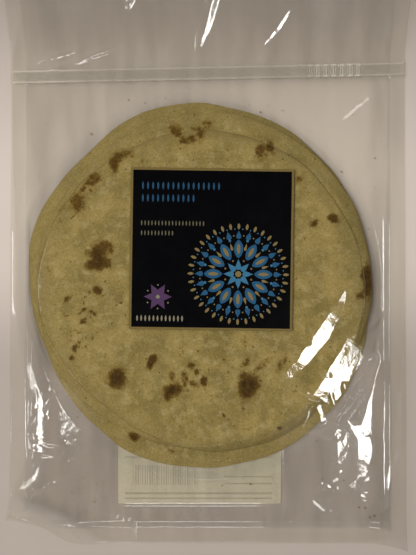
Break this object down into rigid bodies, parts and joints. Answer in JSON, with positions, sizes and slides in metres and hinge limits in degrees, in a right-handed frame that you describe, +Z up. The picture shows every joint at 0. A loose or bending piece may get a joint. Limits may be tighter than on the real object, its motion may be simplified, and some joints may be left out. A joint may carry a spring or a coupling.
{
  "type": "sealed bag of chapati flatbreads",
  "caption": "Clear sealed film bag of stacked round chapati flatbreads, with a square front label, a back label, a zip strip and a lifted lip, lying flat.",
  "frame": {"origin": "under the middle of the bag's box, on the surface that it lies on", "axes": "+Z up out of the front label, +Y towards the mouth of the bag, +X to the right as the front is read"},
  "size_m": [0.25, 0.348, 0.0275],
  "materials": {
    "film": "clear glossy packaging film",
    "bread": null,
    "front_label": "printed satin label",
    "back_label": "white label paper"
  },
  "bodies": {
    "root": {"bag": "film", "front_label": "front_label", "back_label": "back_label"}
  },
  "joints": []
}
